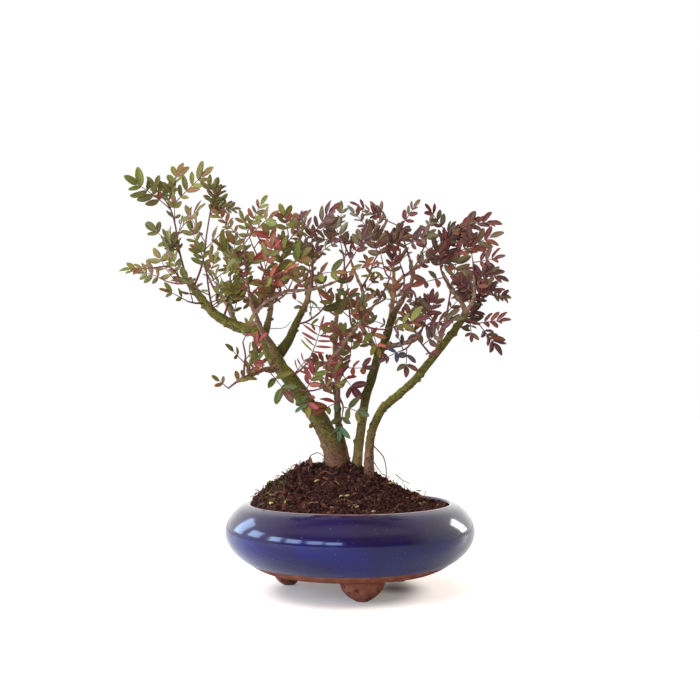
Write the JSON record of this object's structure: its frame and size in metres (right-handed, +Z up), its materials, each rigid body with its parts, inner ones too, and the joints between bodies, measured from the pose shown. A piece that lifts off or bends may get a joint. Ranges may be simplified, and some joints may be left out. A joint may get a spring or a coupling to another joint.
{
  "type": "potted bonsai tree",
  "caption": "Clump-style bonsai with slender mossy trunks and small red, green and purple pinnate leaves, in soil in a round blue glazed pot on three feet.",
  "frame": {"origin": "middle of the bounding box seen from above, at the level of the feet's undersides; the pot's axis stands 29 mm to +X and 2.4 mm to -Y of it, because the crown leans to -X", "axes": "+Z up; -Y is the front side that the picture shows, +X is its right side"},
  "size_m": [0.3278, 0.2146, 0.361],
  "materials": {
    "glazed_clay": "gloss",
    "drain_screen": "matte",
    "peat": "matte",
    "bark": "matte",
    "leaf_green": "satin",
    "leaf_red": "satin",
    "leaf_purple": "satin"
  },
  "bodies": {
    "root": {"pot": "glazed_clay", "drain_screen_left": "drain_screen", "drain_screen_right": "drain_screen", "soil": "peat", "tree": "bark", "leafy_stem_left_crest": "leaf_green", "leafy_stem_left_top": "leaf_green", "leafy_stem_left_fan": "leaf_green", "leafy_stem_left_tip": "leaf_green", "leafy_stem_left_low": "leaf_green", "leafy_stem_left_under": "leaf_green", "leafy_stem_left_rear": "leaf_green", "leafy_stem_left_front": "leaf_green", "leafy_stem_left_middle": "leaf_green", "leafy_stem_red_front": "leaf_green", "leafy_stem_red_rise": "leaf_green", "leafy_stem_red_rise_right": "leaf_green", "leafy_stem_red_tip": "leaf_purple", "leafy_stem_back_top": "leaf_green", "leafy_stem_dark_top": "leaf_green", "leafy_stem_dark_side": "leaf_green", "leafy_stem_fork_side": "leaf_red", "leafy_stem_golden_tip": "leaf_green", "leafy_stem_golden_riser": "leaf_green", "leafy_stem_trunk_front": "leaf_red", "leafy_stem_trunk_left": "leaf_red", "leafy_stem_centre_red": "leaf_red", "leafy_stem_middle_top": "leaf_purple", "leafy_stem_middle_side": "leaf_green", "leafy_stem_middle_low": "leaf_red", "leafy_stem_middle_teal": "leaf_red", "leafy_stem_shoot_top": "leaf_purple", "leafy_stem_shoot_middle": "leaf_red", "leafy_stem_shoot_right": "leaf_red", "leafy_stem_fork_top": "leaf_purple", "leafy_stem_fork_right": "leaf_purple", "leafy_stem_crest_left": "leaf_purple", "leafy_stem_crest_middle": "leaf_purple", "leafy_stem_crest_right": "leaf_purple", "leafy_stem_right_middle": "leaf_purple", "leafy_stem_right_far": "leaf_purple", "leafy_stem_right_edge": "leaf_purple", "leafy_stem_right_hang": "leaf_purple", "leafy_stem_right_low": "leaf_red", "leafy_stem_dark_low": "leaf_red", "leafy_stem_dark_tip": "leaf_red", "leafy_stem_right_rear": "leaf_purple", "leafy_stem_right_rear_low": "leaf_red", "leafy_stem_inner_rear": "leaf_purple", "leafy_stem_inner_rear_low": "leaf_red", "leafy_stem_inner_front": "leaf_purple", "leafy_stem_outer_front": "leaf_purple", "leafy_stem_right_top_rear": "leaf_purple"}
  },
  "joints": []
}
